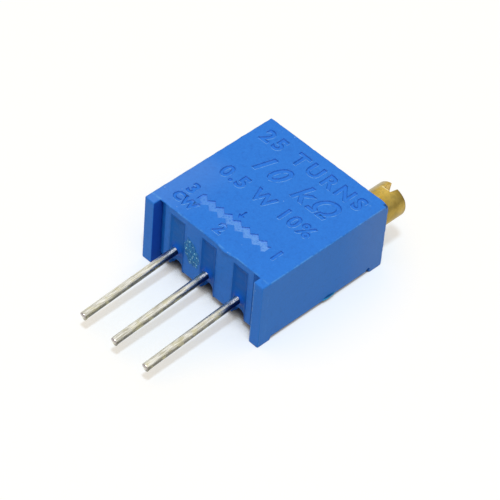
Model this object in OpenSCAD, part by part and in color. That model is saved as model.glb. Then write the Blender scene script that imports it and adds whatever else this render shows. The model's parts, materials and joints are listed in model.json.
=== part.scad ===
// Square multi-turn trimmer potentiometer, lying on its back with the marked face up.
// The leads point along -Y, the slotted screw along +Y, and the feet stand on Z = 0.

/* [Housing] */
// Width of the housing across the row of leads
body_w = 9.53; // [9.4:0.01:9.7]
// Height of the housing from the board seat to the screw face
body_h = 10.03; // [9.9:0.01:10.3]
// Thickness of the housing from the feet to the marked face
body_t = 4.83; // [4.75:0.01:5.0]
// Thickness of the end walls, which run on as the two seating legs
end_wall = 0.72; // [0.68:0.01:0.76]
// Thickness of the marked front wall
front_wall = 0.5; // [0.45:0.01:0.55]
// Set-back of the pin-side wall from the ends of the legs
seat_gap = 0.52; // [0.45:0.01:0.6]
// Thickness of the pin-side wall at its pads
pin_wall = 1.1; // [1.05:0.01:1.15]
// Thickness of the screw-side wall behind the recess
screw_wall = 1.15; // [1.1:0.01:1.2]
// Height of the four back feet
foot_h = 0.3; // [0.25:0.01:0.35]
// Length of each back foot
foot_l = 1.0; // [0.9:0.01:1.1]
// Depth of the lead grooves
groove_depth = 0.38; // [0.36:0.01:0.4]
// Width of each lead groove
groove_w = 1.05; // [0.95:0.01:1.1]
// Width of the channel beside each leg
channel_w = 0.44; // [0.4:0.01:0.48]
// Depth of the channel beside each leg
channel_depth = 0.55; // [0.5:0.01:0.6]
// Thickness of the front wall over each channel
channel_lip = 0.12; // [0.1:0.01:0.2]
// Radius of the back edge of the pads between the grooves
pad_edge_r = 0.36; // [0.3:0.01:0.36]

/* [Leads] */
// Distance between neighbouring leads
lead_pitch = 2.54; // [2.5:0.01:2.58]
// Diameter of each lead
lead_d = 0.51; // [0.48:0.01:0.54]
// Reach of the leads past the ends of the legs
lead_reach = 6.65; // [5:0.05:8]
// Length of each lead that lies on the substrate
lead_inside = 0.75; // [0.7:0.01:0.8]
// Downward bend of the leads where they leave the resin, in degrees
lead_droop_angle = 4.6; // [1:0.1:6]
// Length of the narrowed end of each lead
lead_tip_l = 0.12; // [0.1:0.01:0.16]

/* [Adjusting screw] */
// Distance from the screw's axis to the nearer end face
screw_side = 1.27; // [1.25:0.01:1.3]
// Distance from the screw's axis to the marked face
screw_depth = 1.5; // [1.48:0.01:1.55]
// Diameter of the slotted head
head_d = 2.22; // [2.1:0.01:2.25]
// Length of the head
head_l = 1.79; // [1.5:0.01:1.9]
// Chamfer round the end of the head
head_chamfer = 0.06; // [0.04:0.01:0.18]
// Width of the screwdriver slot
slot_w = 0.63; // [0.5:0.01:0.7]
// Depth of the screwdriver slot
slot_d = 0.66; // [0.5:0.01:0.76]
// Turn of the screwdriver slot from the X axis, in degrees
slot_angle = 83; // [0:1:180]
// Diameter of the plain journal in the screw-side wall
journal_d = 1.8; // [1.76:0.01:1.84]
// Diameter of the necks under the clip and the seal
neck_d = 1.1; // [1.05:0.01:1.15]
// Width of the seal's groove
seal_w = 0.4; // [0.36:0.01:0.44]
// Thickness of the retaining clip
clip_t = 0.25; // [0.22:0.01:0.28]
// Width of the retaining clip
clip_w = 1.66; // [1.62:0.01:1.7]

/* [Worm drive] */
// Number of teeth on the rotor
rotor_teeth = 30; // [28:2:32]
// Outside diameter of the worm thread
worm_d = 1.6; // [1.56:0.01:1.64]
// Number of turns of the worm thread
worm_turns = 6; // [5:0.5:6]
// Pressure angle of the teeth and of the thread
pressure_angle = 20; // [18:1:22]
// Width of the rotor's teeth along its axis
tooth_face = 0.8; // [0.7:0.05:0.9]
// Diameter of the post that the rotor turns on
post_d = 1.6; // [1.5:0.02:1.7]
// Diameter of the rotor's hub
hub_d = 3.0; // [2.8:0.05:3.2]
// Length of the hub below the teeth
hub_l = 0.3; // [0.2:0.01:0.35]

/* [Resistor element] */
// Thickness of the potting resin under the substrate
resin_t = 0.68; // [0.65:0.01:0.7]
// Thickness of the resin in each lead groove
resin_climb = 0.32; // [0.25:0.01:0.35]
// Thickness of the ceramic substrate
substrate_t = 0.64; // [0.62:0.01:0.66]
// Thickness of the printed films
film_t = 0.03; // [0.02:0.005:0.04]
// Mean radius of the resistive track
track_r = 1.95; // [1.85:0.05:2.05]
// Width of the resistive track
track_w = 0.7; // [0.6:0.05:0.8]
// Arc of the resistive track in degrees
track_angle = 300; // [290:5:305]
// Radius of the round end of the collector print
collector_r = 0.9; // [0.8:0.05:1.0]
// Width of the collector's strip
strip_w = 0.5; // [0.4:0.05:0.6]
// Width of the pad under each lead
pad_w = 0.9; // [0.85:0.01:0.95]
// Thickness of the wiper's spring sheet
wiper_t = 0.08; // [0.06:0.01:0.1]
// Width of one wiper finger
finger_w = 0.16; // [0.14:0.01:0.18]
// Number of wiper fingers on the track
track_fingers = 3; // [2:1:4]

/* [Clearances] */
// Radial clearance of the screw, the rotor and the clip's fork
running_clear = 0.02; // [0.015:0.005:0.03]
// Play of the screw and the rotor along their axes
end_play = 0.02; // [0.015:0.005:0.03]
// Room round the rotor's teeth
rotor_room = 0.12; // [0.1:0.01:0.15]
// Gap between the substrate and the walls of its recess
substrate_clear = 0.03; // [0.02:0.005:0.04]
// Room beside each lead in its slot, which the resin fills
lead_room = 0.06; // [0.05:0.01:0.08]
// Gap between the wiper's fingers and the films
wiper_gap = 0.02; // [0.015:0.005:0.025]
// Room round the printed films under the ledge
film_room = 0.05; // [0.04:0.01:0.06]
// Room over the leads in the terminal pocket
pocket_room = 0.12; // [0.1:0.01:0.14]

/* [Hidden] */
$fn = 64;

// Cuts run past a face by this much
overshoot_share = 0.2;
over = front_wall * overshoot_share;

// Walls and levels of the housing, with Y = 0 at the ends of the legs
half_w = body_w / 2;
inner_x = half_w - end_wall;
groove_y = seat_gap + groove_depth;
channel_y = seat_gap + channel_depth;
recess_y0 = seat_gap + pin_wall;
recess_y1 = body_h - screw_wall;
front_in_z = body_t - front_wall;
resin_z1 = foot_h + resin_t;
ledge_z = resin_z1 + substrate_t;
film_z = ledge_z + film_t;

// Leads: lead 1 is on the right, as seen from the pin side
lead_x = [lead_pitch, 0, -lead_pitch];
lead_z = film_z + lead_d / 2;
lead_end_y = recess_y0 + lead_inside;
lead_slot_w = lead_d + 2 * lead_room;
lead_tip_share = 0.7;
lead_straight = (lead_reach + seat_gap) / cos(lead_droop_angle);
bend_ball_share = 1.02;
bend_gap_share = 0.04;

// Terminal pocket over the inner ends of the leads
pad_over_share = 0.3;
pad_y0 = recess_y0 + substrate_clear;
pad_y1 = lead_end_y + pad_w * pad_over_share;
pocket_x = lead_pitch + pad_w / 2 + pad_w * pad_over_share;
pocket_y1 = pad_y1 + pad_w / 2;
pocket_z1 = film_z + lead_d + pocket_room;

// Screw axis, and the worm and wheel that share one module
screw_x = half_w - screw_side;
screw_z = body_t - screw_depth;
gear_module = (screw_x - worm_d / 2) / (rotor_teeth / 2 - 1);
dedendum_share = 1.25;
rotor_pitch_r = gear_module * rotor_teeth / 2;
rotor_tip_r = rotor_pitch_r + gear_module;
rotor_root_r = rotor_pitch_r - gear_module * dedendum_share;
rotor_base_r = rotor_pitch_r * cos(pressure_angle);
worm_pitch_r = worm_d / 2 - gear_module;
worm_core_r = worm_pitch_r - gear_module * dedendum_share;
worm_lead = PI * gear_module;

// Shares of one pitch that the thread and the teeth take up on the pitch line
thread_share = 0.36;
tooth_share = 0.33;
thread_t = worm_lead * thread_share;
tooth_t = worm_lead * tooth_share;

// Rotor
rotor_y = (recess_y0 + recess_y1) / 2;
rotor_room_r = rotor_tip_r + rotor_room;
teeth_z0 = screw_z - tooth_face / 2;
hub_z0 = teeth_z0 - hub_l;
hub_z1 = front_in_z - end_play;
post_z0 = hub_z0 + wiper_t;

// Screw, from its tail in the pin-side wall to its head
tail_cover_share = 0.4;
tail_y = groove_y + pin_wall * tail_cover_share;
bore_y0 = recess_y0 + pin_wall * tail_cover_share;
clip_y0 = recess_y1 - 2 * clip_t;
clip_z1 = screw_z + neck_d / 2;
journal_y0 = clip_y0 - 2 * clip_t;
seal_y0 = body_h - 2 * seal_w;
head_y0 = body_h + end_play;
head_y1 = head_y0 + head_l;
thread_steps = 18;
thread_root_share = 0.85;

// Wiper
wiper_inner_r = post_d / 2 + running_clear;
wiper_outer_share = 0.95;
wiper_outer_r = hub_d / 2 * wiper_outer_share;
wiper_root_share = 0.62;
finger_root_r = wiper_outer_r * wiper_root_share;
finger_tip_z = film_z + wiper_gap;
finger_pitch_share = 1.5;
finger_pitch = finger_w * finger_pitch_share;

// The origin is under the middle of the whole part's box
lead_tip_low = lead_d / 2 * lead_tip_share * sin(lead_droop_angle);
centre_y = (head_y1 - lead_reach - lead_tip_low) / 2;

// Half-angle of a rotor tooth at radius r, in degrees
function involute(angle) = tan(angle) * 180 / PI - angle;
function flank_angle(r) = involute(acos(rotor_base_r / max(r, rotor_base_r)));
function tooth_half_angle(r) =
    tooth_t / rotor_pitch_r * 90 / PI + flank_angle(rotor_pitch_r) - flank_angle(r);
function polar(r, angle) = [r * cos(angle), r * sin(angle)];

// Half-width of the worm thread along its axis at radius r
function thread_half(r) = thread_t / 2 - (r - worm_pitch_r) * tan(pressure_angle);

// Moves a piece from the leg-end frame to the part's own origin
module in_frame() {
    translate([0, -centre_y, 0]) children();
}

// Turns a piece that is built along Z to lie along Y, on the screw's axis
module on_screw_axis() {
    translate([screw_x, 0, screw_z]) rotate([-90, 0, 0]) children();
}

module box(x0, x1, y0, y1, z0, z1) {
    translate([x0, y0, z0]) cube([x1 - x0, y1 - y0, z1 - z0]);
}

// A rod along Y, from y0 to y1
module y_rod(r, y0, y1, x, z) {
    translate([x, y0, z]) rotate([-90, 0, 0]) cylinder(r = r, h = y1 - y0);
}

// Blue moulding: the outer block with its legs and feet
module housing_block() {
    box(-half_w, half_w, seat_gap, body_h, foot_h, body_t);
    for (side = [-1, 1]) {
        leg_x0 = side > 0 ? inner_x : -half_w;
        box(leg_x0, leg_x0 + end_wall, 0, seat_gap, foot_h, body_t);
        for (y = [0, body_h - foot_l])
            box(leg_x0, leg_x0 + end_wall, y, y + foot_l, 0, foot_h);
    }
}

// Slot that one lead drops into from the back, open at z0 and with a round top
module lead_slot(x, y0, y1, z0) {
    box(x - lead_slot_w / 2, x + lead_slot_w / 2, y0, y1, z0, lead_z);
    y_rod(lead_slot_w / 2, y0, y1, x, lead_z);
}

// Grooves round the leads, channels beside the legs, and the round back edge of the pads
module pin_side_cuts() {
    for (x = lead_x) {
        box(x - groove_w / 2, x + groove_w / 2, seat_gap - over, groove_y, foot_h - over, front_in_z);
        lead_slot(x, groove_y - over, recess_y0 + over, foot_h - over);
    }
    for (x = [-inner_x, inner_x - channel_w])
        box(x, x + channel_w, seat_gap - over, channel_y, foot_h - over, body_t - channel_lip);
    difference() {
        box(-inner_x, inner_x, seat_gap - over, seat_gap + pad_edge_r, foot_h - over, foot_h + pad_edge_r);
        translate([-half_w, seat_gap + pad_edge_r, foot_h + pad_edge_r])
            rotate([0, 90, 0]) cylinder(r = pad_edge_r, h = body_w);
    }
}

// Recess for the substrate and the resin, the pocket over the leads, the relief over the films,
// and the rotor's round chamber
module element_cuts() {
    box(-inner_x, inner_x, recess_y0, recess_y1, foot_h - over, ledge_z);
    box(-pocket_x, pocket_x, recess_y0, pocket_y1, ledge_z - over, pocket_z1);
    box(-pocket_x, pocket_x, recess_y0, rotor_y, ledge_z - over, film_z + film_room);
    translate([0, rotor_y, ledge_z - over]) {
        cylinder(r = track_r + track_w / 2 + film_room, h = over + film_t + film_room);
        cylinder(r = rotor_room_r, h = front_in_z - ledge_z + over);
    }
}

// Bore for the journal and the worm, the blind bore for the tail, and the clip's slot
module screw_cuts() {
    y_rod(journal_d / 2 + running_clear, bore_y0, body_h + over, screw_x, screw_z);
    y_rod(worm_core_r + running_clear, tail_y - end_play, bore_y0 + over, screw_x, screw_z);
    box(screw_x - clip_w / 2, screw_x + clip_w / 2, clip_y0, clip_y0 + clip_t, ledge_z - over, clip_z1);
}

module housing() {
    color("royalblue") in_frame() {
        difference() {
            housing_block();
            pin_side_cuts();
            element_cuts();
            screw_cuts();
        }
        translate([0, rotor_y, post_z0]) cylinder(d = post_d, h = front_in_z - post_z0 + over);
    }
}

// Blue resin that closes the back and fills the slots and the grooves round the leads
module potting_resin() {
    color("mediumblue") in_frame() difference() {
        union() {
            box(-inner_x, inner_x, recess_y0, recess_y1, foot_h, resin_z1);
            for (x = lead_x) {
                lead_slot(x, groove_y, recess_y0, foot_h);
                box(x - groove_w / 2, x + groove_w / 2, groove_y - resin_climb, groove_y,
                    foot_h + pad_edge_r, front_in_z);
            }
        }
        for (x = lead_x) y_rod(lead_d / 2, groove_y - resin_climb - over, recess_y0 + over, x, lead_z);
    }
}

// White ceramic plate, seated against the ledge over the resin
module substrate() {
    color("white") in_frame()
        box(-inner_x + substrate_clear, inner_x - substrate_clear,
            recess_y0 + substrate_clear, recess_y1 - substrate_clear, resin_z1, ledge_z);
}

// Horseshoe of resistor film, with its gap towards the leads
module track_arc(z0, h) {
    translate([0, rotor_y, z0]) rotate([0, 0, 90 - track_angle / 2]) rotate_extrude(angle = track_angle)
        translate([track_r - track_w / 2, 0]) square([track_w, h]);
}

module resistive_track() {
    color("dimgray") in_frame() track_arc(ledge_z, film_t);
}

// Conductor print from a lead's pad to one end of the track; side is 1 on the right and -1 on the left
module termination(side) {
    wrap_angle = 6;
    end_angle = 90 - track_angle / 2;
    track_end = [polar(track_r - track_w / 2, end_angle - wrap_angle),
        polar(track_r + track_w / 2, end_angle - wrap_angle),
        polar(track_r + track_w / 2, end_angle + wrap_angle)];
    pad = [[lead_pitch - pad_w / 2, pad_y1], [lead_pitch - pad_w / 2, pad_y0],
        [lead_pitch + pad_w / 2, pad_y0], [lead_pitch + pad_w / 2, pad_y1]];
    in_frame() difference() {
        translate([0, 0, ledge_z]) linear_extrude(film_t) hull() polygon([
            for (p = [track_end[0], track_end[1]]) [side * p[0], rotor_y + p[1]],
            for (p = pad) [side * p[0], p[1]],
            [side * track_end[2][0], rotor_y + track_end[2][1]]]);
        track_arc(ledge_z - over, film_t + 2 * over);
    }
}

module termination_1() {
    color("silver") termination(1);
}

module termination_3() {
    color("silver") termination(-1);
}

// Conductor print under the middle of the rotor, with a strip to lead 2
module collector_print() {
    color("silver") in_frame() {
        translate([0, rotor_y, ledge_z]) cylinder(r = collector_r, h = film_t);
        box(-strip_w / 2, strip_w / 2, pad_y1, rotor_y, ledge_z, film_z);
        box(-pad_w / 2, pad_w / 2, pad_y0, pad_y1, ledge_z, film_z);
    }
}

// Tinned wire: straight through the resin, then bent down a little in front of the pads
module lead(x) {
    r = lead_d / 2;
    gap = lead_d * bend_gap_share;
    in_frame() translate([x, seat_gap, lead_z]) {
        sphere(d = lead_d * bend_ball_share);
        rotate([-90, 0, 0]) translate([0, 0, gap]) cylinder(r = r, h = lead_end_y - seat_gap - gap);
        rotate([90 + lead_droop_angle, 0, 0]) rotate_extrude() polygon([
            [0, gap], [r, gap], [r, lead_straight - lead_tip_l],
            [r * lead_tip_share, lead_straight], [0, lead_straight]]);
    }
}

module lead_1() {
    color("gainsboro") lead(lead_x[0]);
}

module lead_2() {
    color("gainsboro") lead(lead_x[1]);
}

module lead_3() {
    color("gainsboro") lead(lead_x[2]);
}

// Solder cone round the inner end of a lead
module solder_joint(x) {
    foot_share = 0.48;
    top_share = 0.3;
    in_frame() difference() {
        translate([x, lead_end_y - lead_d / 2, film_z])
            cylinder(r1 = pad_w * foot_share, r2 = pad_w * top_share, h = lead_d);
        y_rod(lead_d / 2, recess_y0, lead_end_y, x, lead_z);
    }
}

module solder_joint_1() {
    color("darkgray") solder_joint(lead_x[0]);
}

module solder_joint_2() {
    color("darkgray") solder_joint(lead_x[1]);
}

module solder_joint_3() {
    color("darkgray") solder_joint(lead_x[2]);
}

// Right-hand trapezoidal thread, with a groove facing the rotor's middle tooth
module worm_thread() {
    r_in = worm_core_r * thread_root_share;
    r_out = worm_d / 2;
    section = [[r_in, -thread_half(r_in)], [r_out, -thread_half(r_out)],
        [r_out, thread_half(r_out)], [r_in, thread_half(r_in)]];
    steps = worm_turns * thread_steps;
    points = [for (i = [0:steps], p = section)
        let (turn = i / thread_steps - worm_turns / 2)
        [p[0] * cos(360 * turn), p[0] * sin(360 * turn), rotor_y + worm_lead * turn + p[1]]];
    sides = [for (i = [0:steps - 1], k = [0:3])
        let (a = 4 * i + k, b = 4 * i + (k + 1) % 4)
        each [[a, b, a + 4], [b, b + 4, a + 4]]];
    last = 4 * steps;
    polyhedron(points, concat(sides, [[0, 2, 1], [0, 3, 2],
        [last, last + 1, last + 2], [last, last + 2, last + 3]]));
}

// Turned brass screw: tail, worm, necked journal and slotted head
module adjusting_screw() {
    color("goldenrod") in_frame() on_screw_axis() difference() {
        union() {
            rotate_extrude() polygon([
                [0, tail_y], [worm_core_r, tail_y], [worm_core_r, journal_y0],
                [journal_d / 2, journal_y0], [journal_d / 2, clip_y0 - end_play],
                [neck_d / 2, clip_y0 - end_play], [neck_d / 2, clip_y0 + clip_t + end_play],
                [journal_d / 2, clip_y0 + clip_t + end_play], [journal_d / 2, seal_y0],
                [neck_d / 2, seal_y0], [neck_d / 2, seal_y0 + seal_w],
                [journal_d / 2, seal_y0 + seal_w], [journal_d / 2, head_y0],
                [head_d / 2, head_y0], [head_d / 2, head_y1 - head_chamfer],
                [head_d / 2 - head_chamfer, head_y1], [0, head_y1]]);
            worm_thread();
        }
        rotate([0, 0, -slot_angle]) translate([-head_d, -slot_w / 2, head_y1 - slot_d])
            cube([2 * head_d, slot_w, slot_d + over]);
    }
}

// Rubber ring in the outer neck of the screw
module shaft_seal() {
    ring_t = (journal_d - neck_d) / 2;
    color("black") in_frame() on_screw_axis() translate([0, 0, seal_y0 + seal_w / 2]) rotate_extrude()
        intersection() {
            translate([neck_d / 2, -seal_w / 2]) square([ring_t, seal_w]);
            translate([neck_d / 2 + ring_t / 2, 0]) circle(d = seal_w);
        }
}

// Fork of sheet metal, pushed in from the back round the inner neck of the screw
module retaining_clip() {
    fork_r = neck_d / 2 + running_clear;
    color("lightsteelblue") in_frame() difference() {
        box(screw_x - clip_w / 2, screw_x + clip_w / 2, clip_y0, clip_y0 + clip_t, ledge_z, clip_z1);
        y_rod(fork_r, clip_y0 - over, clip_y0 + clip_t + over, screw_x, screw_z);
        box(screw_x - fork_r, screw_x + fork_r, clip_y0 - over, clip_y0 + clip_t + over,
            screw_z, clip_z1 + over);
    }
}

// Moulded worm wheel with involute teeth, turning on the housing's post
module rotor() {
    flank = [rotor_root_r, rotor_base_r, rotor_pitch_r, rotor_tip_r];
    outline = [for (k = [0:rotor_teeth - 1]) let (middle = k * 360 / rotor_teeth) each concat(
        [for (i = [0:3]) polar(flank[i], middle - tooth_half_angle(flank[i]))],
        [for (i = [3:-1:0]) polar(flank[i], middle + tooth_half_angle(flank[i]))])];
    color("ivory") in_frame() translate([0, rotor_y, 0]) difference() {
        union() {
            translate([0, 0, teeth_z0]) linear_extrude(tooth_face) polygon(outline);
            translate([0, 0, hub_z0]) cylinder(d = hub_d, h = hub_z1 - hub_z0);
        }
        translate([0, 0, hub_z0 - over])
            cylinder(d = post_d + 2 * running_clear, h = hub_z1 - hub_z0 + 2 * over);
    }
}

// One bent finger in the plane x = 0, from radius r0 at the sheet down to radius r1 at the film
module wiper_finger(r0, r1) {
    toe = r1 > r0 ? finger_w : -finger_w;
    rotate([90, 0, 90]) linear_extrude(finger_w, center = true) polygon([
        [r0, hub_z0], [r1, finger_tip_z + wiper_t], [r1 + toe, finger_tip_z + wiper_t],
        [r1 + toe, finger_tip_z], [r1, finger_tip_z], [r0, hub_z0 - wiper_t]]);
}

// Spring sheet under the hub, with fingers on the track and one on the collector
module wiper() {
    color("gold") in_frame() translate([0, rotor_y, 0]) {
        translate([0, 0, hub_z0 - wiper_t]) difference() {
            cylinder(r = wiper_outer_r, h = wiper_t);
            translate([0, 0, -over]) cylinder(r = wiper_inner_r, h = wiper_t + 2 * over);
        }
        for (i = [0:track_fingers - 1])
            translate([(i - (track_fingers - 1) / 2) * finger_pitch, 0, 0])
                wiper_finger(finger_root_r, track_r);
        rotate([0, 0, 180]) wiper_finger(finger_root_r, collector_r / 2);
    }
}

housing();
potting_resin();
substrate();
resistive_track();
termination_1();
termination_3();
collector_print();
lead_1();
lead_2();
lead_3();
solder_joint_1();
solder_joint_2();
solder_joint_3();
adjusting_screw();
shaft_seal();
retaining_clip();
rotor();
wiper();
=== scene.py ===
import json
import math

import bmesh
import bpy
from mathutils import Matrix, Vector, noise


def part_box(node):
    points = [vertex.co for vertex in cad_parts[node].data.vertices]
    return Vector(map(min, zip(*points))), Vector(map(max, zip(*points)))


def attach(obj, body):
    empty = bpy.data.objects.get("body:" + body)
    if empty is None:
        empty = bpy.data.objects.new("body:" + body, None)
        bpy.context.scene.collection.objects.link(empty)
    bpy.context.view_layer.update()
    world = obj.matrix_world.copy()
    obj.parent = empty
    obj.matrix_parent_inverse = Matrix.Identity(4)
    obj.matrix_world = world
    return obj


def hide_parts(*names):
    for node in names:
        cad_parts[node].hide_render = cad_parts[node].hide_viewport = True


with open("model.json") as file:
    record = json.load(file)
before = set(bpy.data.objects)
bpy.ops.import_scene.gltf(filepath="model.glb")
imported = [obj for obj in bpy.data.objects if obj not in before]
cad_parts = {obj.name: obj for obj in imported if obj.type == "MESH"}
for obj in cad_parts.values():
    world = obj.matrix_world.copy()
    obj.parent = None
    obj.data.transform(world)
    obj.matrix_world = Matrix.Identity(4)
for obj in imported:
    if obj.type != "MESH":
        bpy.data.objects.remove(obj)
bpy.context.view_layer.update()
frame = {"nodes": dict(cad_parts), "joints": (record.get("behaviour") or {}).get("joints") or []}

# Housing: one moulding of blue glass-filled plastic, open at the back, with two legs and four feet.
# Its pin side has a groove round each lead, with an arched opening below, and a channel beside each leg.
# A small relief lies beside the foot at the screw's end.
mm = 0.001
case_low, case_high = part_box("housing")
half_w = case_high.x
seat_y = case_low.y
screw_face_y = case_high.y
front_z = case_high.z
pad_y = seat_y + 0.52 * mm
groove_y = pad_y + 0.38 * mm
recess_y = pad_y + 1.1 * mm
foot_h = 0.3 * mm
foot_y = screw_face_y - 1.0 * mm
relief_r = 0.16 * mm
pitch = 2.54 * mm
half_pitch = pitch / 2 / mm
groove_w = 1.05 * mm
channel_x0, channel_x1 = 3.6 * mm, 4.04 * mm
channel_y = pad_y + 0.55 * mm
channel_top = front_z - 0.12 * mm
arches = ((-pitch, 0.9 * mm), (0.0, 1.1 * mm), (pitch, 1.0 * mm))
hair = 0.001 * mm
weld = 0.2 * hair
crease = math.radians(50)
screw_x, screw_z = (frame["joints"][0]["pos_m"][i] for i in (0, 2))


class Channel:
    """One socket of a finish. Sums of channels add Math nodes, and node() adds any other node."""

    def __init__(self, tree, socket=None):
        self.tree = tree
        self.socket = socket

    def node(self, kind, settings, inputs, output=0):
        made = self.tree.nodes.new("ShaderNode" + kind)
        for name, value in settings.items():
            setattr(made, name, value)
        for name, value in inputs.items():
            if isinstance(value, Channel):
                self.tree.links.new(value.socket, made.inputs[name])
            else:
                made.inputs[name].default_value = value
        return Channel(self.tree, made.outputs[output] if made.outputs else None)

    def math(self, operation, *values):
        return self.node("Math", {"operation": operation}, dict(enumerate(values)))

    def __add__(self, other):
        return self.math("ADD", self, other)

    def __sub__(self, other):
        return self.math("SUBTRACT", self, other)

    def __rsub__(self, other):
        return self.math("SUBTRACT", other, self)

    def __mul__(self, other):
        return self.math("MULTIPLY", self, other)

    __radd__ = __add__
    __rmul__ = __mul__

    def __abs__(self):
        return self.math("ABSOLUTE", self)

    def least(self, other):
        return self.math("MINIMUM", self, other)

    def most(self, other):
        return self.math("MAXIMUM", self, other)

    def ramp(self, low, high):
        """0 below low, 1 above high, and smooth between them; low may be the larger."""
        return self.node(
            "MapRange",
            {"interpolation_type": "SMOOTHSTEP"},
            {"Value": self, "From Min": low, "From Max": high},
        )

    def tint(self, low, high):
        """A colour from low to high, where self goes from 0 to 1."""
        return self.node("Mix", {"data_type": "RGBA"}, {0: self, 6: low, 7: high}, 2)

    def part(self, name):
        """The X, Y or Z of a place."""
        return self.node("SeparateXYZ", {}, {"Vector": self}, name)

    def stretched(self, scale):
        return self.node("VectorMath", {"operation": "MULTIPLY"}, {0: self, 1: scale})

    def grain(self, scale, detail=2.0, rough=0.5):
        """Noise from 0 to 1, with about scale lumps in a millimetre."""
        return self.node(
            "TexNoise", {}, {"Vector": self, "Scale": scale, "Detail": detail, "Roughness": rough}
        )

    def cells(self, scale):
        """Distance from the middle of scattered cells, scale of them in a millimetre."""
        return self.node("TexVoronoi", {}, {"Vector": self, "Scale": scale, "Randomness": 1.0})

    def relief(self, height):
        """A normal from a height in millimetres."""
        return self.node("Bump", {}, {"Height": self, "Distance": height * mm, "Strength": 1.0})


def rgb(red, green, blue):
    """A colour given as it shows on a screen, from 0 to 255."""
    return (
        *((c / 255 / 12.92) if c < 10.4 else ((c / 255 + 0.055) / 1.055) ** 2.4 for c in (red, green, blue)),
        1.0,
    )


def new_finish(name):
    """A material, and a channel with places on the part in millimetres from the middle of its seat."""
    material = bpy.data.materials.new(name)
    material.use_nodes = True
    material.node_tree.nodes.clear()
    start = Channel(material.node_tree)
    place = start.node("TexCoord", {}, {}, "Object")
    return material, place.node(
        "Mapping", {}, {"Vector": place, "Location": (0, -seat_y / mm, 0), "Scale": (1 / mm,) * 3}
    )


def coat_with(place, **inputs):
    """Ends a finish with its shader."""
    shader = place.node("BsdfPrincipled", {}, inputs)
    shader.node("OutputMaterial", {}, {"Surface": shader})


def node_copy(name):
    """A copy of a CAD node's mesh with its triangles merged and its flat faces made whole."""
    bm = bmesh.new()
    bm.from_mesh(frame["nodes"][name].data)
    bmesh.ops.remove_doubles(bm, verts=bm.verts, dist=weld)
    bmesh.ops.dissolve_limit(
        bm, angle_limit=math.radians(0.5), verts=bm.verts[:], edges=bm.edges[:], delimit=set()
    )
    return bm


def make_piece(name, bm, finish, body, slot, *nodes):
    """Turns a mesh into a piece with hard creases, which rides on its body and stands for its CAD nodes."""
    for face in bm.faces:
        face.smooth = True
    for edge in bm.edges:
        edge.smooth = edge.smooth and edge.calc_face_angle(0) < crease
    mesh = bpy.data.meshes.new(name)
    bm.to_mesh(mesh)
    bm.free()
    mesh.materials.append(finish)
    made = bpy.data.objects.new(name, mesh)
    bpy.context.scene.collection.objects.link(made)
    made.modifiers.new("flat_faces", "WEIGHTED_NORMAL").keep_sharp = True
    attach(made, body)
    if nodes:
        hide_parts(*nodes)
    return made


def cut_away(bm, *cutters):
    """The first mesh less the others."""
    mesh = bpy.data.meshes.new("cut")
    bm.to_mesh(mesh)
    bm.free()
    blank = bpy.data.objects.new("cut", mesh)
    tools = [blank]
    bpy.context.scene.collection.objects.link(blank)
    for cutter in cutters:
        tool_mesh = bpy.data.meshes.new("tool")
        cutter.to_mesh(tool_mesh)
        cutter.free()
        tool = bpy.data.objects.new("tool", tool_mesh)
        bpy.context.scene.collection.objects.link(tool)
        tools.append(tool)
        boolean = blank.modifiers.new("cut", "BOOLEAN")
        boolean.operation = "DIFFERENCE"
        boolean.solver = "EXACT"
        boolean.use_self = True
        boolean.object = tool
    seen = blank.evaluated_get(bpy.context.evaluated_depsgraph_get())
    result = bmesh.new()
    result.from_mesh(seen.to_mesh())
    for tool in tools:
        bpy.data.objects.remove(tool)
    return result


def foot_relief():
    """Cutter for the small relief beside the foot at the screw's end."""
    bm = bmesh.new()
    bmesh.ops.create_cone(
        bm,
        cap_ends=True,
        segments=24,
        radius1=relief_r,
        radius2=relief_r,
        depth=mm,
        matrix=Matrix.Translation((half_w, foot_y - 0.9 * relief_r, foot_h))
        @ Matrix.Rotation(math.pi / 2, 4, "Y"),
    )
    return bm


def arch_cutters():
    """Cutters for the arched openings under the leads, through the wall behind the grooves."""
    cutters = []
    for wire_x, top in arches:
        bm = bmesh.new()
        bmesh.ops.create_cone(
            bm,
            cap_ends=True,
            segments=48,
            radius1=1.0,
            radius2=1.0,
            depth=1.0,
            matrix=Matrix.Translation((wire_x, (groove_y + recess_y) / 2, foot_h))
            @ Matrix.Diagonal((groove_w / 2 - 5 * hair, recess_y - groove_y + 20 * hair, top - foot_h, 1))
            @ Matrix.Rotation(math.pi / 2, 4, "X"),
        )
        cutters.append(bm)
    return cutters


# Front marks: sunk in the face by the mould, with a shallow worn lip on the near side of each letter.
# The lead numbers and the resistor sign with its wiper arrow are those of any trimmer,
# and plain ratings stand above them.
mark_depth = 0.1 * mm
mark_wall = 0.02 * mm
mark_lip = 0.03 * mm
mark_crease = math.radians(5)
mark_lip_x, mark_lip_y = 0.06, -0.067
font_size_share = 1.35
band_y = 2.36
arrow_x = -0.1


def sink(bm, x, y, rise=0.0):
    """Sets a mark's cutter on the front face, x and y in millimetres from the middle of the seat."""
    bmesh.ops.remove_doubles(bm, verts=bm.verts, dist=weld)
    bmesh.ops.translate(bm, verts=bm.verts, vec=(x * mm, seat_y + y * mm, front_z + rise))
    return bm


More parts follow.
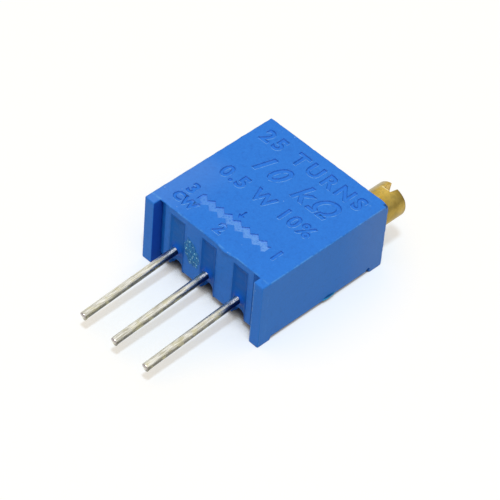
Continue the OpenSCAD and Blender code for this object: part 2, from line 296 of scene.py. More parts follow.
def word(text, height, x, y, spread=1.0, slant=0.0):
    """Cutters for one line of letters, widest at the face, and for the worn lip on their near side."""
    curve = bpy.data.curves.new("word", "FONT")
    curve.body = text
    curve.size = height * font_size_share * mm
    curve.align_x = curve.align_y = "CENTER"
    curve.space_character = spread
    curve.shear = slant
    curve.bevel_depth = mark_depth - 2 * mark_wall
    curve.extrude = mark_wall
    curve.bevel_resolution = 1
    curve.resolution_u = 3
    letters = bpy.data.objects.new("word", curve)
    bpy.context.scene.collection.objects.link(letters)
    seen = letters.evaluated_get(bpy.context.evaluated_depsgraph_get())
    bm = bmesh.new()
    bm.from_mesh(seen.to_mesh())
    bpy.data.objects.remove(letters)
    lip = bm.copy()
    rise = hair - mark_wall
    return sink(bm, x, y, rise), sink(lip, x + mark_lip_x, y + mark_lip_y, rise + mark_depth - mark_lip)


def thicken(bm):
    """Makes a flat mark a cutter that reaches from just over the face down to the floor."""
    floor = bmesh.ops.extrude_face_region(bm, geom=bm.faces[:])["geom"]
    bmesh.ops.translate(
        bm, verts=[v for v in floor if isinstance(v, bmesh.types.BMVert)], vec=(0, 0, -mark_depth - mark_wall)
    )
    bmesh.ops.recalc_face_normals(bm, faces=bm.faces)
    if bm.calc_volume(signed=True) < 0:
        bmesh.ops.reverse_faces(bm, faces=bm.faces)
    return bm


def resistor_sign(length, waves, swing, stroke):
    """A cutter for a zigzag band."""
    bm = bmesh.new()
    bmesh.ops.create_grid(bm, x_segments=waves * 16, y_segments=1, size=0.5)
    for vert in bm.verts:
        zigzag = math.asin(math.sin(vert.co.x * waves * 2 * math.pi)) * 2 / math.pi
        vert.co = Vector((vert.co.x * length, vert.co.y * stroke + zigzag * swing, 0)) * mm
    return thicken(bm)


def arrow_head(width):
    """A cutter for a small triangle that points towards the pin side."""
    bm = bmesh.new()
    bmesh.ops.create_circle(bm, cap_ends=True, segments=3, radius=0.5 * width * mm)
    bmesh.ops.rotate(bm, verts=bm.verts, matrix=Matrix.Rotation(math.pi, 3, "Z"))
    return thicken(bm)


def arrow_stem(width, length):
    """A cutter for the arrow's stroke."""
    bm = bmesh.new()
    bmesh.ops.create_grid(
        bm, x_segments=1, y_segments=1, size=0.5, matrix=Matrix.Diagonal((width * mm, length * mm, 1, 1))
    )
    return thicken(bm)


housing = cut_away(
    node_copy("housing"),
    *word("25 TURNS", height=1.05, x=-0.1, y=8.75, spread=1.35),
    *word("10 kΩ", height=1.5, x=0.1, y=6.95, spread=1.25, slant=0.3),
    *word("0.5 W 10%", height=1.0, x=0.0, y=4.95, spread=1.2),
    sink(resistor_sign(length=5.55, waves=8, swing=0.15, stroke=0.56), 0.0, band_y, mark_wall),
    sink(arrow_head(width=0.5), arrow_x, 3.0, mark_wall),
    sink(arrow_stem(width=0.14, length=0.4), arrow_x, 3.3, mark_wall),
    *word("3", height=0.85, x=-3.45, y=2.5),
    *word("CW", height=0.7, x=-3.1, y=1.5),
    *word("2", height=0.85, x=-0.15, y=1.45),
    *word("1", height=0.85, x=3.42, y=2.35),
    foot_relief(),
    *arch_cutters(),
)
for edge in housing.edges:
    if all(v.co.z > front_z - hair for v in edge.verts) and edge.calc_face_angle(0) > mark_crease:
        edge.smooth = False

# Edges of the housing: rounded by the mould, then rubbed and nicked.
# Near lead 1 the front edge has a thin lip of flash, and the corner by the screw is chipped.
edge_round = 0.06 * mm
front_in_z = front_z - 0.5 * mm
lip_x, lip_half_w, lip_reach = 1.25 * mm, 0.95 * mm, 0.13 * mm
chip_corner = Vector((half_w - 0.1 * mm, screw_face_y, front_z))
chip_r, chip_depth = 0.22 * mm, 0.05 * mm
rub_reach = 1.5 * edge_round
edge_step = 0.12 * mm
long_edge = 1.5 * mm
sharp = math.radians(40)
block = (
    (Vector((1, 0, 0)), half_w),
    (Vector((-1, 0, 0)), half_w),
    (Vector((0, 0, 1)), front_z),
    (Vector((0, 1, 0)), screw_face_y),
    (Vector((0, -1, 0)), -pad_y),
)


def depths(place):
    """Depths of a place under the five outer faces of the housing."""
    return [reach - normal.dot(place) for normal, reach in block]


def edge_shows(edge):
    """Is this a sharp outside edge of the housing?"""
    if not edge.is_convex or edge.calc_face_angle(0) < sharp:
        return False
    middle = (edge.verts[0].co + edge.verts[1].co) / 2
    outer = sum(abs(depth) < hair for depth in depths(middle)) > 1
    return outer or middle.y < groove_y - hair or middle.z < foot_h - hair


def rub(vert):
    """Wears a rounded edge, along the faces that it joins, by an uneven amount."""
    deep = depths(vert.co)
    near = [i for i in range(5) if -hair < deep[i] < rub_reach]
    if len(near) < 2:
        return
    lump = noise.noise(vert.co / (0.5 * mm)) + 0.5 * noise.noise(vert.co / (0.2 * mm))
    nick = max(0.0, noise.noise(vert.co / (0.3 * mm) + Vector((7, 3, 5))) - 0.35)
    worn = (0.011 * lump + 0.06 * nick) * mm
    lip = max(0.0, 1 - abs(vert.co.x - lip_x) / lip_half_w)
    chip = max(0.0, 1 - (vert.co - chip_corner).length / chip_r)
    for i in near:
        if deep[i] > hair:
            vert.co -= block[i][0] * worn
        vert.co -= block[i][0] * chip * chip_depth
    if 2 in near and 4 in near:
        vert.co.y -= lip_reach * (3 - 2 * lip) * lip * lip


bmesh.ops.remove_doubles(housing, verts=housing.verts, dist=weld)
bmesh.ops.bisect_plane(
    housing,
    geom=housing.verts[:] + housing.edges[:] + housing.faces[:],
    plane_co=(0, 0, front_in_z + 0.15 * mm),
    plane_no=(0, 0, 1),
)
for edge in [e for e in housing.edges if edge_shows(e) and e.calc_length() > long_edge]:
    bmesh.ops.subdivide_edges(housing, edges=[edge], cuts=int(edge.calc_length() / edge_step))
bmesh.ops.bevel(
    housing,
    geom=[e for e in housing.edges if edge_shows(e)],
    offset=edge_round,
    segments=2,
    profile=0.5,
    affect="EDGES",
    material=-1,
    clamp_overlap=False,
)
for vert in housing.verts:
    rub(vert)

leg_line = 4.09
chip_x, chip_y = 4.65, 9.93
channel_middle = (channel_x0 + channel_x1) / 2 / mm
housing_finish, place = new_finish("blue_moulded_plastic")
x, y, z = (place.part(axis) for axis in "XYZ")
inset_x = half_w / mm - abs(x)
inset_z = front_z / mm - z
inset_y = ((screw_face_y - seat_y) / mm - y).least(y - (pad_y - seat_y) / mm)
rim = inset_x.most(inset_z).least(inset_x.most(inset_y)).least(inset_z.most(inset_y))
cloud = place.grain(0.5, 3.0)
fleck = place.grain(9.0, 4.0, 0.65)
speck = place.cells(1.1).ramp(0.045, 0.03) * place.grain(1.3).ramp(0.56, 0.62)
# The rims along the outer edges are painted lighter, partly as wear and partly as a painted highlight.
rim_wear_and_highlight = (rim + place.grain(6.0, 3.0) * 0.1).ramp(0.14, 0.06) * place.grain(2.2, 3.0).ramp(0.4, 0.6)
rim_wear_and_highlight = rim_wear_and_highlight * y.ramp(0.4, 0.52)
# Painted highlight: the inner edge of each leg's end face is painted lighter.
leg_edge_highlight = abs(x - leg_line).ramp(0.08, 0.03) * y.ramp(0.12, 0.05) * place.grain(3.0, 3.0).ramp(0.35, 0.55)
sunk = inset_z.ramp(0.035, 0.06) * inset_z.ramp(0.14, 0.11)
sunk = sunk * inset_x.ramp(0.1, 0.2) * inset_y.ramp(0.1, 0.2)
mark_zone = inset_x.least(inset_y).ramp(0.1, 0.2) * inset_x.most(inset_y).ramp(0.8, 0.86)
# Painted highlight: the lip on the near side of each mark is painted lighter.
lip_highlight = inset_z.ramp(0.004, 0.01) * inset_z.ramp(0.04, 0.034) * mark_zone
# Painted shade: the walls of the sunk marks are painted darker.
mark_side_shade = inset_z.ramp(0.036, 0.045) * inset_z.ramp(0.094, 0.084) * mark_zone
edge_speck = place.cells(2.4).ramp(0.12, 0.07) * place.grain(1.9).ramp(0.5, 0.58) * inset_z.ramp(0.05, 0.02)
edge_speck = edge_speck * inset_y.ramp(0.7, 0.2)
band_floor = sunk * abs(y - band_y).ramp(0.58, 0.5) * abs(x).ramp(2.95, 2.85)
# Painted shade: in the left leg's channel the plastic is painted dark, and it is rougher there.
channel = abs(x + channel_middle).ramp(0.25, 0.225) * y.ramp(1.15, 1.1) * inset_z.ramp(0.06, 0.14)
from_groove = abs(x.math("WRAP", x, half_pitch, -half_pitch)) - groove_w / 2 / mm
smear = (from_groove + place.grain(2.4, 3.0) * 0.5).ramp(0.55, 0.2)
smear = smear * y.ramp(0.75, 0.6) * abs(x).ramp(3.9, 3.6)
# The end faces are painted paler towards the screw's end.
pale_far_ends = inset_x.ramp(0.08, 0.0) * y.ramp(6.0, 9.5)
# Painted shade: the chip at the corner by the screw is painted dark.
chip = abs(x - chip_x).most(abs(y - chip_y)).most(inset_z).ramp(0.2, 0.08)
blue = cloud.tint(rgb(40, 117, 218), rgb(44, 126, 228))
blue = (fleck.ramp(0.3, 0.8) * 0.6).tint(blue, rgb(52, 137, 239))
blue = (place.grain(4.0, 3.0).ramp(0.5, 0.75) * 0.4).tint(blue, rgb(36, 107, 203))
# Painted shade: the end faces are tinted a little darker and greener.
blue = (inset_x.ramp(0.08, 0.0) * 0.12).tint(blue, rgb(40, 110, 130))
blue = (pale_far_ends * 0.14).tint(blue, rgb(150, 160, 176))
sheen = x.ramp(-1.5, -4.7) * y.ramp(6.0, 4.0) * inset_z.ramp(0.03, 0.0)
blue = (sheen * 0.07).tint(blue, rgb(190, 206, 226))
blue = (smear * inset_z.ramp(0.3, 0.55) * 0.6).tint(blue, rgb(16, 94, 188))
blue = (band_floor * fleck.ramp(0.25, 0.55) * (0.62 + x * 0.08)).tint(blue, rgb(118, 174, 246))
blue = (rim_wear_and_highlight * (0.12 + inset_z.ramp(0.1, 0.05) * 0.4)).tint(blue, rgb(100, 170, 240))
blue = (leg_edge_highlight * 0.4).tint(blue, rgb(130, 180, 236))
blue = (channel * 0.85).tint(blue, rgb(0, 66, 176))
blue = (speck * 0.7).tint(blue, rgb(150, 190, 240))
blue = (edge_speck * 0.6).tint(blue, rgb(150, 190, 240))
blue = (mark_side_shade * 0.42).tint(blue, rgb(10, 66, 150))
blue = (lip_highlight * place.grain(3.0, 3.0).ramp(0.3, 0.55) * 0.7).tint(blue, rgb(128, 188, 250))
blue = (chip * 0.8).tint(blue, rgb(6, 50, 96))
relief = fleck * 0.5 + place.grain(26.0, 3.0) * 0.3 + band_floor * place.grain(16.0, 3.0) * 2.0
coat_with(
    place,
    **{
        "Base Color": blue,
        "Roughness": 0.42 + fleck * 0.16 + band_floor * 0.1 + channel * 0.3,
        "Specular IOR Level": 0.2,
        "Normal": relief.relief(0.006),
    },
)
make_piece("housing_moulding", housing, housing_finish, "case", "housing", "housing")

# Gate scar: where the moulding was broken off its runner, on the pad between leads 2 and 3.
# The torn plastic is rough and paler, and its grains glint.
scar_x, scar_z = -1.3 * mm, 2.52 * mm
scar_w, scar_h, scar_rise, scar_lean = 1.2 * mm, 1.9 * mm, 0.05 * mm, 0.22
scar = bmesh.new()
bmesh.ops.create_icosphere(scar, subdivisions=5, radius=1.0)
for vert in scar.verts:
    torn = 0.8 * noise.noise(vert.co * 4) + 0.6 * noise.noise(vert.co * 9) + 0.5 * noise.noise(vert.co * 19)
    outline = 1 + 0.4 * noise.noise(Vector((vert.co.x, 0, vert.co.z)) * 2.2)
    up = vert.co.z * outline * scar_h / 2
    across = vert.co.x * outline * scar_w / 2 - up * scar_lean
    vert.co = Vector((scar_x + across, pad_y + vert.co.y * scar_rise * (1 + torn), scar_z + up))
scar_finish, place = new_finish("torn_blue_plastic")
torn = place.grain(11.0, 4.0, 0.7)
up = place.part("Z") - scar_z / mm
across = place.part("X") - scar_x / mm + up * scar_lean
inside = (across * across * 2.4 + up * up * 0.9 + torn * 0.5).ramp(1.45, 0.75)
glint = place.cells(7.0).ramp(0.42, 0.3) * place.grain(4.0).ramp(0.48, 0.56)
teal = torn.ramp(0.35, 0.65).tint(rgb(24, 96, 182), rgb(66, 150, 210))
teal = inside.tint(rgb(36, 112, 208), teal)
coat_with(
    place,
    **{
        "Base Color": (glint * inside).tint(teal, rgb(160, 230, 255)),
        "Roughness": 0.5 - glint * 0.3,
        "Specular IOR Level": 0.12,
        "Normal": torn.relief(0.02),
    },
)
make_piece("gate_scar", scar, scar_finish, "case", "housing")

# Leads: three tinned copper wires, cropped on a slant that leaves a burr under each tip.
# They run straight through the resin and bend down a little in front of the pads.
wire_r = 0.255 * mm
wire_z = 1.905 * mm
wire_in_y = seat_y + 2.37 * mm
wire_tip = (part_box("lead_2")[0].y - seat_y) / mm
droop = math.radians(4.6)
bend_l = 0.2 * mm
tip_round, tip_l = 0.09 * mm, 0.35 * mm
tip_slant, tip_drop, tip_burr = 0.12 * mm, 0.02 * mm, 0.2 * mm
wire_finish, place = new_finish("tinned_wire")
streak = place.stretched((8.0, 0.12, 8.0)).grain(2.2, 4.0, 0.6)
blotch = place.grain(2.4, 3.0)
grit = place.grain(18.0, 3.0)
across = place.part("X").math("WRAP", place.part("X"), half_pitch, -half_pitch)
axis_z = wire_z / mm - ((pad_y - seat_y) / mm - place.part("Y")).most(0.0) * math.tan(droop)
under = (across * 0.84 - (place.part("Z") - axis_z) * 0.54) * (mm / wire_r)
# Painted shade: each wire is painted dark along its lower side, more so towards the root.
underside_shade = (under + streak * 0.45 - 0.22).ramp(0.3, 0.7)
near_root = place.part("Y").ramp(-1.8, 0.4)
shine = abs(under + 0.25).ramp(0.4, 0.2) * place.part("Y").ramp(-0.3, 0.0) * grit.ramp(0.4, 0.55)
tin = streak.ramp(0.38, 0.62).tint(rgb(190, 186, 168), rgb(250, 248, 238))
tin = (underside_shade * (0.82 + near_root * 0.16)).tint(tin, rgb(46, 42, 33))
tin = (blotch.ramp(0.45, 0.7) * 0.45).tint(tin, rgb(216, 208, 158))
root_shade = under.ramp(-0.1, 0.3) * place.part("Y").ramp(-1.2, -0.2)
tin = (root_shade * 0.9).tint(tin, rgb(16, 46, 92))
tin = (place.part("Y").ramp(wire_tip + 0.1, wire_tip + 0.06) * 0.85).tint(tin, rgb(164, 154, 157))
tin = shine.tint(tin, rgb(246, 250, 252))
coat_with(
    place,
    **{
        "Base Color": tin,
        "Metallic": 1.0 - shine * 0.8,
        "Roughness": 0.16 + streak * 0.14 + grit * 0.08,
        "Normal": (streak * 0.8 + grit * 0.2).relief(0.015),
    },
)


def bend_wire(place):
    """A point of a straight wire, turned down past the bend."""
    past = pad_y - place.y
    if past <= 0:
        return place
    turn = droop * min(1.0, past / bend_l)
    low = place.z - wire_z
    return Vector(
        (
            place.x,
            pad_y - past * math.cos(turn) - low * math.sin(turn),
            wire_z + low * math.cos(turn) - past * math.sin(turn),
        )
    )


for name, number in (("lead_1", 1), ("lead_2", 2), ("lead_3", 3)):
    low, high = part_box(name)
    middle_x = (low.x + high.x) / 2
    reach = (pad_y - low.y - 0.7 * wire_r * math.sin(droop)) / math.cos(droop)
    length = wire_in_y - pad_y + reach
    wire = bmesh.new()
    bmesh.ops.create_cone(
        wire, cap_ends=True, segments=32, radius1=wire_r, radius2=wire_r, depth=length
    )
    runs = [e for e in wire.edges if abs(e.verts[0].co.z - e.verts[1].co.z) > length / 2]
    bmesh.ops.subdivide_edges(wire, edges=runs, cuts=90, use_grid_fill=True)
    tip_rim = [e for e in wire.edges if all(v.co.z < hair - length / 2 for v in e.verts)]
    bmesh.ops.bevel(
        wire, geom=tip_rim, offset=tip_round, segments=4, profile=0.5, affect="EDGES", material=-1
    )
    for vert in wire.verts:
        spot = Vector((vert.co.x, vert.co.z + length / 2 - reach, vert.co.y))
        near_tip = max(0.0, 1 - (spot.y + reach) / tip_l)
        rise = (spot.z + wire_r) / (2 * wire_r)
        back = tip_slant * (1 - rise) * near_tip
        hook = (tip_drop + tip_burr * max(0.0, 1 - 4 * rise)) * near_tip ** 2
        swell = 1 + 0.018 * noise.noise(Vector((spot.x * 2, spot.y * 0.6, spot.z * 2 + number * mm)) / mm)
        vert.co = bend_wire(
            Vector((middle_x + spot.x * swell, pad_y + spot.y + back, wire_z + spot.z * swell - hook))
        )
    bmesh.ops.recalc_face_normals(wire, faces=wire.faces)
    make_piece(f"{name}_wire", wire, wire_finish, "case", "tinned_wire", name)

# Resin: blue epoxy, poured over the back to hold the substrate and the leads.
# It fills the grooves and the channels, climbs the leads a little, and is arched at its lower ends.
# One bead has run out at the back edge.
resin_finish, place = new_finish("blue_potting_resin")
ripple = place.grain(1.4, 2.0)
dust = place.grain(14.0, 4.0, 0.7)
x, z = place.part("X"), place.part("Z") - wire_z / mm
across = x.math("WRAP", x, half_pitch, -half_pitch)
from_wire = (across * across + z * z).math("SQRT", across * across + z * z)
# Round each lead's root the resin is glossier and is painted a deeper blue as painted shade.
gloss_and_shade_halo = (from_wire + ripple * 0.3).ramp(0.85, 0.45) * place.part("Y").ramp(0.9, 0.7)
resin_blue = ripple.tint(rgb(16, 96, 186), rgb(26, 110, 202))
resin_blue = (dust.ramp(0.55, 0.8) * 0.4).tint(resin_blue, rgb(46, 122, 204))
resin_blue = (x.ramp(-1.3, -1.2) * 0.4).tint(resin_blue, rgb(4, 84, 182))
resin_blue = (gloss_and_shade_halo * 0.6).tint(resin_blue, rgb(0, 76, 190))
# The bead is painted dark on top as painted shade and pale cyan below as a painted highlight.
bead_shade_and_highlight = place.part("Z").ramp(0.44, 0.34).tint(rgb(8, 70, 130), rgb(48, 164, 222))
resin_blue = x.ramp(4.5, 4.6).tint(resin_blue, bead_shade_and_highlight)
coat_with(
    place,
    **{
        "Base Color": resin_blue,
        "Roughness": 0.34 + dust * 0.25 - gloss_and_shade_halo * 0.15,
        "Specular IOR Level": 0.1,
        "Normal": (ripple + dust * 0.1).relief(0.03),
    },
)
resin_smear = 0.05 * mm
arch_gap = 0.06 * mm
channel_low = foot_h + 0.35 * mm
bead_place = Vector((half_w - 0.04 * mm, seat_y + 5.65 * mm, 0.34 * mm))
bead_r = Vector((0.14, 0.5, 0.12)) * mm


def pour(bm, x0, x1, low, high, face, back_y):
    """Resin set between x0 and x1, with its lower end at low(x), its face at face(x, z) and a flat back."""
    front = bmesh.ops.create_grid(bm, x_segments=24, y_segments=84, size=0.5)["verts"]
    front_faces = list({f for v in front for f in v.link_faces})
    for vert in front:
        x = x0 + (vert.co.x + 0.5) * (x1 - x0)
        z = low(x) + (vert.co.y + 0.5) * (high - low(x))
        vert.co = Vector((x, face(x, z), z))
    back = bmesh.ops.extrude_face_region(bm, geom=front_faces, use_keep_orig=True)["geom"]
    for vert in back:
        if isinstance(vert, bmesh.types.BMVert):
            vert.co.y = back_y
    shell = {f for v in front for f in v.link_faces} | {f for f in back if isinstance(f, bmesh.types.BMFace)}
    bmesh.ops.recalc_face_normals(bm, faces=list(shell))


def groove_shape(wire_x, arch_top):
    """The lower end and the face of the resin round one lead, as functions of the place."""

    def low(x):
        share = min(1.0, abs(x - wire_x) / (groove_w / 2))
        return foot_h + arch_gap + (arch_top - foot_h - arch_gap) * math.sqrt(1 - share * share)

    def face(x, z):
        near_wire = math.exp(min(0.0, wire_r - math.hypot(x - wire_x, z - wire_z)) / (0.14 * mm))
        near_side = math.exp(min(0.0, abs(x - wire_x) - groove_w / 2) / (0.07 * mm))
        near_top = math.exp(min(0.0, z - front_in_z) / (0.06 * mm))
        near_low = math.exp((low(x) - z) / (0.09 * mm))
        uneven = noise.noise(Vector((x, 0, z)) / (0.4 * mm))
        sunk = 0.08 - 0.09 * max(near_side, near_top) - 0.2 * near_wire + 0.12 * near_low + 0.02 * uneven
        return pad_y + sunk * mm

    return low, face


def channel_shape(hollow):
    """The lower end and the face of the resin in one channel, as functions of the place."""

    def low(x):
        return channel_low

    def face(x, z):
        share = (abs(x) - channel_x0) / (channel_x1 - channel_x0)
        uneven = noise.noise(Vector((x, 4 * mm, z)) / (0.5 * mm))
        return pad_y + (hollow * (0.15 + share * share + 0.1 * uneven) - 0.01) * mm

    return low, face


clear_box = bmesh.new()
bmesh.ops.create_cube(
    clear_box,
    size=1.0,
    matrix=Matrix.Translation((0, groove_y + 2 * hair - mm, front_z / 2))
    @ Matrix.Diagonal((2.2 * half_w, 2 * mm, 2 * front_z, 1)),
)
resin = cut_away(node_copy("potting_resin"), clear_box, *arch_cutters())
for wire_x, arch_top in arches:
    low, face = groove_shape(wire_x, arch_top)
    pour(
        resin,
        wire_x - groove_w / 2 - resin_smear,
        wire_x + groove_w / 2 + resin_smear,
        low,
        front_in_z + resin_smear,
        face,
        groove_y + hair,
    )
for side, hollow in ((-1, 0.2), (1, 0.0)):
    low, face = channel_shape(hollow)
    pour(
        resin,
        side * (channel_x0 - resin_smear),
        side * (channel_x1 - 2 * hair),
        low,
        channel_top + resin_smear,
        face,
        channel_y - hair,
    )
bead = bmesh.ops.create_icosphere(resin, subdivisions=4, radius=1.0)["verts"]
for vert in bead:
    lump = 1 + 0.25 * noise.noise(vert.co * 1.7)
    vert.co = bead_place + vert.co * bead_r * lump
make_piece("potting_resin_pour", resin, resin_finish, "case", "resin", "potting_resin")

# Adjusting screw: turned from brass bar, with a worm inside the case and a slotted head outside.
# The head's end is rounded, the saw left a burr along the slot, and one tooth of the head is worn.
head_r, head_l, head_round = 1.11 * mm, 1.79 * mm, 0.14 * mm
slot_w, slot_d, slot_turn = 0.63 * mm, 0.66 * mm, math.radians(83)
slot_lean = 0.15 * mm
edge_break = 0.02 * mm
burr_l, burr_h, burr_lump = 0.08 * mm, 0.05 * mm, 0.15 * mm
wear_l, wear_depth, wear_from = 0.3 * mm, 0.17 * mm, 0.4
head_y1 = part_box("adjusting_screw")[1].y
head_y0 = head_y1 - head_l
brass_finish, place = new_finish("turned_brass")
ring = place.stretched((0.6, 9.0, 0.6)).grain(3.0, 3.0)
stain = place.grain(1.3, 4.0, 0.65)
grit = place.grain(20.0, 3.0)
left = (screw_x / mm - place.part("X")) * (mm / head_r)
brass = stain.ramp(0.35, 0.65).tint(rgb(186, 152, 60), rgb(228, 194, 96))
brass = (place.grain(2.6, 3.0).ramp(0.5, 0.66) * 0.42).tint(brass, rgb(134, 118, 58))
# Painted light and shade: the head is painted paler on its -x side and darker on its +x side.
brass = (left.ramp(0.25, 0.7) * 0.8).tint(brass, rgb(180, 174, 150))
brass = (left.ramp(-0.1, -0.7) * 0.5).tint(brass, rgb(142, 126, 72))
slot_floor = (head_y1 - slot_d - seat_y) / mm
burr_shine = abs(place.part("Y") - slot_floor).ramp(0.07, 0.03) * abs(left - 0.07).ramp(0.26, 0.2)
brass = burr_shine.tint(brass, rgb(255, 236, 176))
from_end = (head_y1 - seat_y) / mm - place.part("Y")
rim_shade = from_end.ramp(0.14, 0.09) * from_end.ramp(0.005, 0.02) * left.ramp(0.1, -0.1)
brass = (rim_shade * 0.75).tint(brass, rgb(96, 70, 26))
coat_with(
    place,
    **{
        "Base Color": brass,
        "Metallic": 1.0,
        "Roughness": 0.26 + ring * 0.18 + grit * 0.08,
        "Normal": (ring * 0.7 + grit * 0.3).relief(0.012),
    },
)
head = bmesh.new()
radii = ((0, head_y0), (head_r, head_y0), (head_r, head_y1), (0, head_y1))
corners = [head.verts.new((screw_x + r, y, screw_z)) for r, y in radii]
sides = [head.edges.new(pair) for pair in zip(corners, corners[1:])]
bmesh.ops.spin(
    head,
    geom=corners + sides,
    cent=(screw_x, 0, screw_z),
    axis=(0, 1, 0),
    angle=2 * math.pi,
    steps=72,
    use_merge=True,
)
bmesh.ops.remove_doubles(head, verts=head.verts, dist=hair)
bmesh.ops.recalc_face_normals(head, faces=head.faces)
bmesh.ops.bevel(
    head,
    geom=[e for e in head.edges if e.calc_face_angle(0) > 1 and e.verts[0].co.y > head_y1 - hair],
    offset=head_round,
    segments=5,
    profile=0.5,
    affect="EDGES",
    material=-1,
)
saw = bmesh.new()
bmesh.ops.create_cube(
    saw,
    size=1.0,
    matrix=Matrix.Translation((screw_x, head_y1, screw_z))
    @ Matrix.Rotation(-slot_turn, 4, "Y")
    @ Matrix.Diagonal((3 * head_r, 2 * slot_d, slot_w, 1)),
)
for vert in saw.verts:
    if vert.co.x > screw_x and vert.co.y < head_y1:
        vert.co.x -= slot_lean
head = cut_away(head, saw)
bmesh.ops.remove_doubles(head, verts=head.verts, dist=5 * hair)
bmesh.ops.bevel(
    head,
    geom=[e for e in head.edges if e.is_convex and e.calc_face_angle(0) > sharp],
    offset=edge_break,
    segments=2,
    profile=0.5,
    affect="EDGES",
    material=-1,
    clamp_overlap=True,
)
for vert in head.verts:
    burr = max(0.0, 1 - abs(vert.co.y - head_y1 + slot_d) / burr_l)
    out = Vector((vert.co.x - screw_x, 0, vert.co.z - screw_z))
    if out.length > head_r - 0.1 * mm:
        vert.co += out.normalized() * burr_h * burr * (0.6 + noise.noise(vert.co / burr_lump))
    near_end = max(0.0, 1 - (head_y1 - vert.co.y) / wear_l)
    if out.x > 0:
        vert.co.z -= wear_depth * near_end ** 2 * max(0.0, out.z / head_r - wear_from) / (1 - wear_from)
shank = node_copy("adjusting_screw")
bmesh.ops.bisect_plane(
    shank,
    geom=shank.verts[:] + shank.edges[:] + shank.faces[:],
    plane_co=(0, head_y0 - 2 * hair, 0),
    plane_no=(0, 1, 0),
    clear_outer=True,
)
bmesh.ops.holes_fill(shank, edges=[e for e in shank.edges if e.is_boundary])
shank_mesh = bpy.data.meshes.new("shank")
shank.to_mesh(shank_mesh)
shank.free()
head.from_mesh(shank_mesh)
make_piece("adjusting_screw_turned", head, brass_finish, "screw", "brass", "adjusting_screw")

# Inner pieces: sealed in the case, each a CAD node with its own finish.
# The ceramic plate carries fired prints, and the rotor carries the wiper's spring sheet.
solder_joints = ("solder_joint_1", "solder_joint_2", "solder_joint_3")
prints = ("termination_1", "termination_3", "collector_print")
inner = (
    ("fired_ceramic", ("substrate",), rgb(226, 224, 214), rgb(240, 238, 230), 0.0, 0.55),
    ("resistor_print", ("resistive_track",), rgb(24, 24, 26), rgb(46, 46, 48), 0.0, 0.6),
    ("silver_print", prints, rgb(176, 174, 166), rgb(204, 202, 194), 1.0, 0.4),
    ("bright_solder", solder_joints, rgb(170, 170, 172), rgb(206, 206, 208), 1.0, 0.28),
    ("black_rubber", ("shaft_seal",), rgb(22, 22, 22), rgb(40, 40, 40), 0.0, 0.6),
    ("stamped_steel", ("retaining_clip",), rgb(150, 152, 156), rgb(190, 192, 196), 1.0, 0.34),
    ("ivory_nylon", ("rotor",), rgb(222, 216, 196), rgb(236, 231, 214), 0.0, 0.45),
    ("spring_alloy", ("wiper",), rgb(190, 162, 104), rgb(216, 190, 132), 1.0, 0.3),
)
for finish_name, names, dark, light, metallic, rough in inner:
    finish, place = new_finish(finish_name)
    speckle = place.grain(7.0, 4.0, 0.6)
    coat_with(
        place,
        **{
            "Base Color": speckle.tint(dark, light),
            "Metallic": metallic,
            "Roughness": rough + speckle * 0.12,
            "Normal": speckle.relief(0.006),
        },
    )
    for name in names:
        frame["nodes"][name].data.materials.clear()
        frame["nodes"][name].data.materials.append(finish)

# Table and light: a plain white sweep under one soft lamp, inside a pale tent.
# The floor is white to the camera and to the metal, and keeps the part's shadow.
floor_mesh = bmesh.new()
bmesh.ops.create_grid(floor_mesh, x_segments=1, y_segments=1, size=2.0)
floor_finish = bpy.data.materials.new("white_table")
floor_finish.use_nodes = True
floor_finish.node_tree.nodes.clear()
start = Channel(floor_finish.node_tree)
seen_directly = start.node("LightPath", {}, {}, "Is Camera Ray")
seen = seen_directly.most(start.node("LightPath", {}, {}, "Is Glossy Ray")).most(
    start.node("LightPath", {}, {}, "Is Transmission Ray")
)
# Painted shadow: near the part, ambient occlusion darkens the paper and the glow that the camera sees.
open_air = start.node("AmbientOcclusion", {"samples": 16}, {"Distance": 3 * mm}, "AO").ramp(0.16, 0.48)
seen_paper = open_air.tint((0.1, 0.12, 0.15, 1.0), (0.42, 0.54, 0.68, 1.0))
paper = start.node("BsdfDiffuse", {}, {"Color": seen.tint((0.65, 0.63, 0.59, 1.0), seen_paper)})
# Painted reflection: near the part the glow is tinted bluish, as if lit by the blue case.
wide_air = start.node("AmbientOcclusion", {"samples": 16}, {"Distance": 8 * mm}, "AO").ramp(0.55, 0.97)
glow_tone = wide_air.tint((1.02, 0.96, 0.86, 1.0), (1.267, 1.018, 0.723, 1.0))
black = (0.0, 0.0, 0.0, 1.0)
glow = start.node("Emission", {}, {"Color": (seen * open_air).tint(black, glow_tone), "Strength": 0.51})
both = start.node("AddShader", {}, {0: paper, 1: glow})
start.node("OutputMaterial", {}, {"Surface": both})
mesh = bpy.data.meshes.new("table")
floor_mesh.to_mesh(mesh)
floor_mesh.free()
mesh.materials.append(floor_finish)
table = bpy.data.objects.new("table", mesh)
bpy.context.scene.collection.objects.link(table)

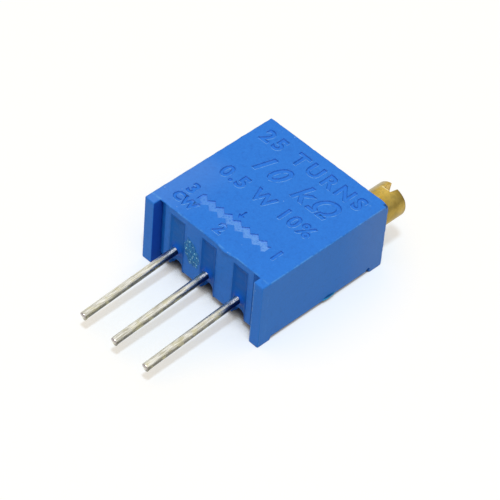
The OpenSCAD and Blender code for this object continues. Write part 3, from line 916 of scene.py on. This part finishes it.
world = bpy.data.worlds.new("tent")
bpy.context.scene.world = world
world.use_nodes = True
world.node_tree.nodes.clear()
start = Channel(world.node_tree)
camera_ray = start.node("LightPath", {}, {}, "Is Camera Ray")
mirror_ray = start.node("LightPath", {}, {}, "Is Glossy Ray").most(
    start.node("LightPath", {}, {}, "Is Transmission Ray")
)
heading = start.node("TexCoord", {}, {}, "Generated")
height = heading.part("Z")
tent = 0.25 + height.most(0.0) * 0.43
mirrored = 0.15 + height.ramp(0.02, 0.55).most((0 - heading.part("X")).ramp(0.2, 0.8) * 0.8) * 0.8
level = camera_ray.most(mirror_ray * mirrored).most((1 - mirror_ray) * tent)
warmth = camera_ray.most(mirror_ray).tint((1.0, 0.97, 0.9, 1.0), (1.0, 1.0, 1.0, 1.0))
sky = start.node("Background", {}, {"Color": warmth, "Strength": level})
start.node("OutputWorld", {}, {"Surface": sky})

lamp_way, lamp_distance = Vector((0.24, -0.25, 1.0)), 0.8
lamp = bpy.data.lights.new("soft_lamp", "AREA")
lamp.shape = "DISK"
lamp.size = 0.09
lamp.energy = 3.2
lamp_object = bpy.data.objects.new("soft_lamp", lamp)
bpy.context.scene.collection.objects.link(lamp_object)
lamp_object.location = lamp_way * lamp_distance
lamp_object.rotation_euler = lamp_object.location.to_track_quat("Z", "Y").to_euler()

# Camera: looks down on the front face, past the pin side and the screw's end face.
# Its turn, place and focal length are fitted to the corners of the case.
image_w, focal_w, sensor_w = 500, 2828.60266614, 36.0
azimuth, elevation, roll = (math.radians(a) for a in (42.13, 45.51, 5.13))
offset = Vector((-2.90737554, -2.92788807, -160.70678517)) * mm
level = Vector((math.sin(azimuth), -math.cos(azimuth), 0))
back = level * math.cos(elevation) + Vector((0, 0, math.sin(elevation)))
right = Vector((math.cos(azimuth), math.sin(azimuth), 0))
up = back.cross(right)
axes = Matrix(
    (
        math.cos(roll) * right + math.sin(roll) * up,
        math.cos(roll) * up - math.sin(roll) * right,
        back,
    )
).transposed()
view = bpy.data.cameras.new("view")
view.sensor_width = sensor_w
view.lens = sensor_w * focal_w / image_w
view.clip_start = 0.01
view.clip_end = 10.0
camera = bpy.data.objects.new("view", view)
bpy.context.scene.collection.objects.link(camera)
camera.matrix_world = Matrix.Translation(Vector((0, seat_y, 0)) - axes @ offset) @ axes.to_4x4()
bpy.context.scene.camera = camera
bpy.context.scene.view_settings.view_transform = "Standard"
